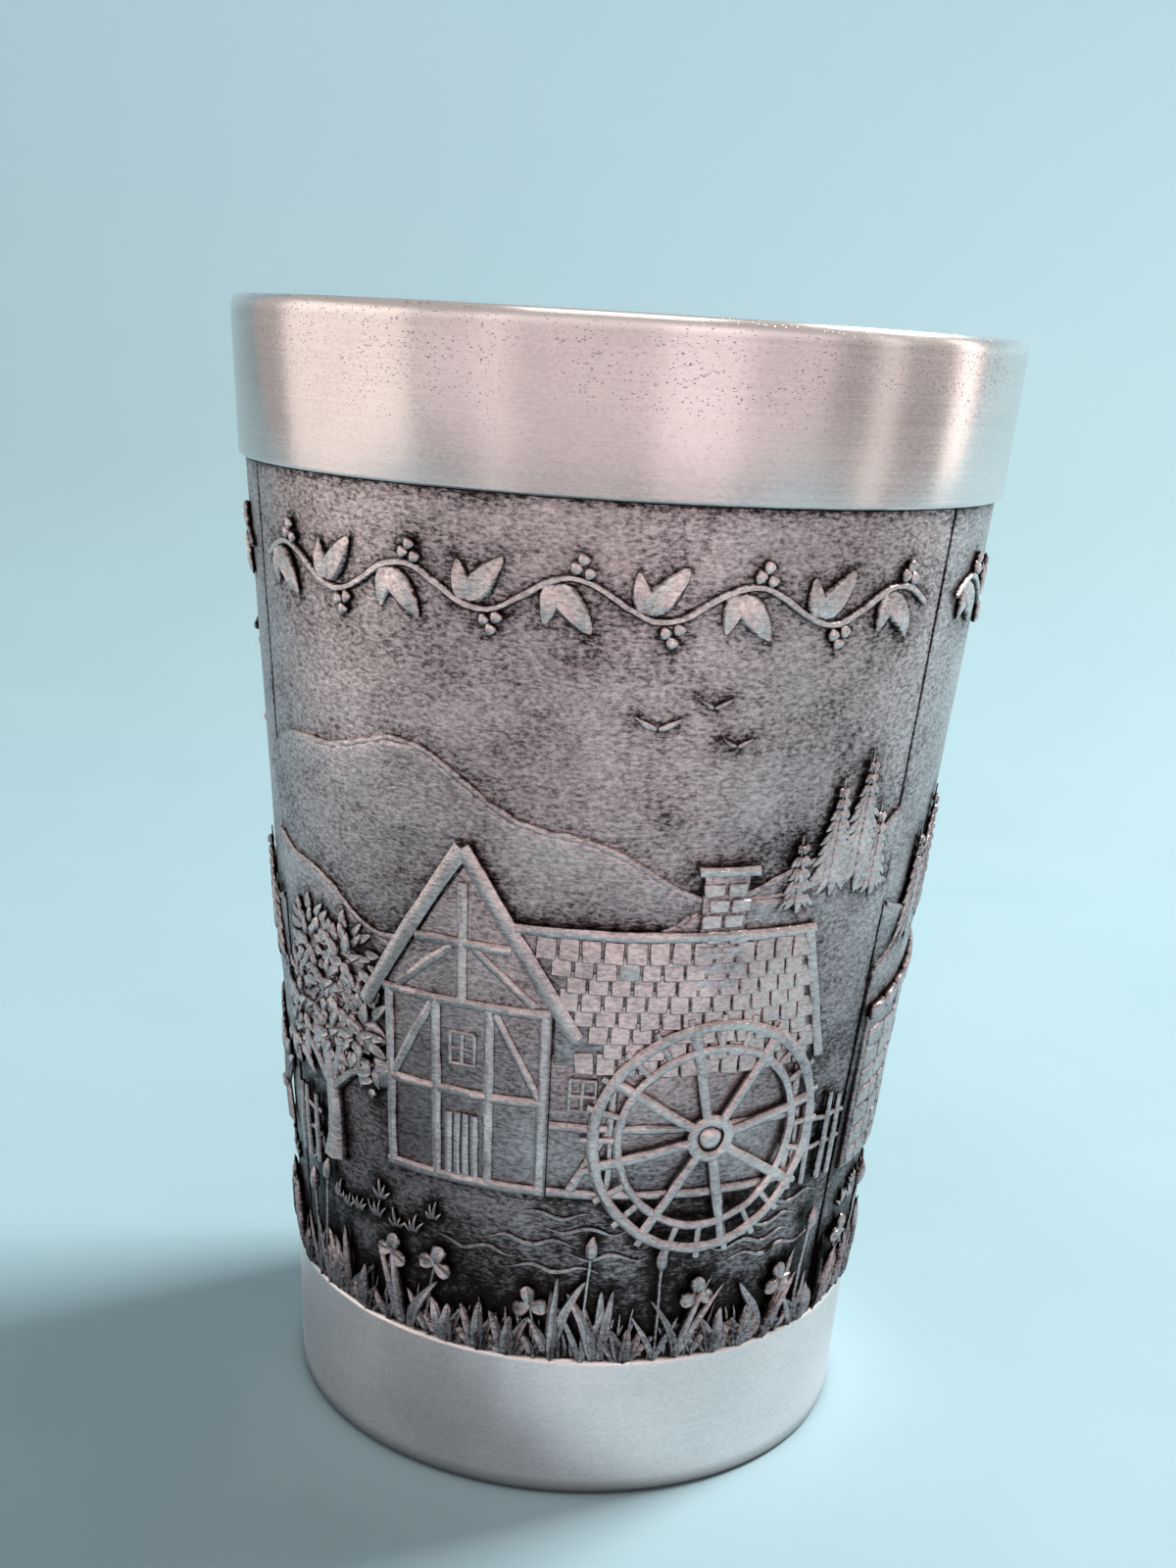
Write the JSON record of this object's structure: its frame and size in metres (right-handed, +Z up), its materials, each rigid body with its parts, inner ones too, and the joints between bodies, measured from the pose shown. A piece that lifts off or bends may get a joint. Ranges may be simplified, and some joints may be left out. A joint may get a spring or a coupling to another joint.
{
  "type": "pewter cup",
  "caption": "Tapered pewter drinking cup with a plain rim band and foot band, and dark relief plates with upright seams between them.",
  "frame": {"origin": "on the table under the cup's axis, at the middle of the foot band's underside", "axes": "+Z up along the cup's axis to its mouth, -Y towards the middle of the front relief plate, +X to the right seen from the front"},
  "size_m": [0.0624, 0.0624, 0.09],
  "materials": {
    "inner_pewter": "turned satin pewter, slightly dulled",
    "satin_pewter": "satin pewter, brushed round the cup, with fine pits",
    "dark_pewter": "antiqued cast pewter, dark in the hollows and rubbed bright on the raised parts",
    "seam_solder": "darkened solder"
  },
  "bodies": {
    "root": {"cup_wall": "inner_pewter", "floor_disc": "inner_pewter", "floor_solder": "inner_pewter", "foot_band": "satin_pewter", "rim_band": "satin_pewter", "relief_panel_front": "dark_pewter", "relief_panel_right": "dark_pewter", "relief_panel_left": "dark_pewter", "seam_solder_front_right": "seam_solder", "seam_solder_back": "seam_solder", "seam_solder_front_left": "seam_solder"}
  },
  "joints": []
}
